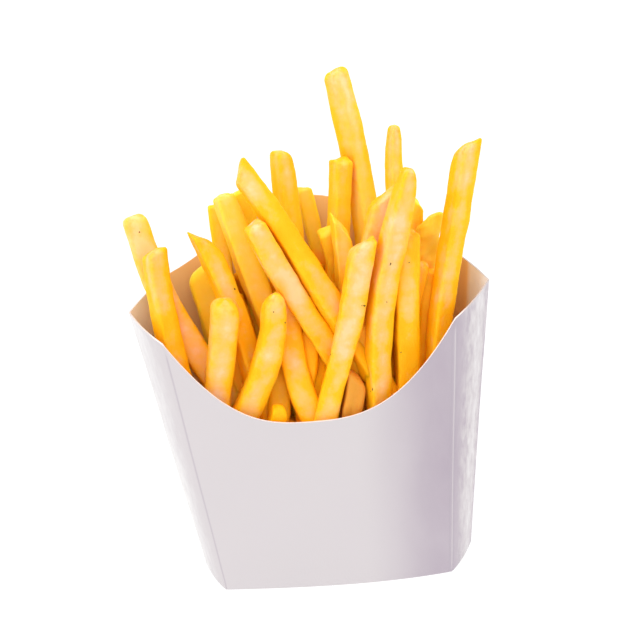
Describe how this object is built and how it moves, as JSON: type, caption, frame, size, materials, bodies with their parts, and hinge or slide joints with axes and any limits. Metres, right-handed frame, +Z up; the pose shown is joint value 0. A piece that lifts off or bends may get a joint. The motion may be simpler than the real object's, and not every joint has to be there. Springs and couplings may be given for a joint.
{
  "type": "french fries in a carton",
  "caption": "Portion of french fries standing loosely in a plain white folded paperboard scoop carton with a low curved front and a high arched back.",
  "frame": {"origin": "middle of the flat underside that the carton stands on", "axes": "+Z up, -Y towards the front with the low scoop, +X to the right seen from the front"},
  "size_m": [0.134, 0.0544, 0.1895],
  "materials": {
    "paperboard": "plain uncoated white paperboard, warmer and browner inside, bare pale cut edges",
    "fried_potato": "golden yellow fried potato with a thin dry crust, pale on the flat faces and orange in the shade, slightly oily"
  },
  "bodies": {
    "root": {"carton": "paperboard", "fries": "fried_potato"}
  },
  "joints": []
}
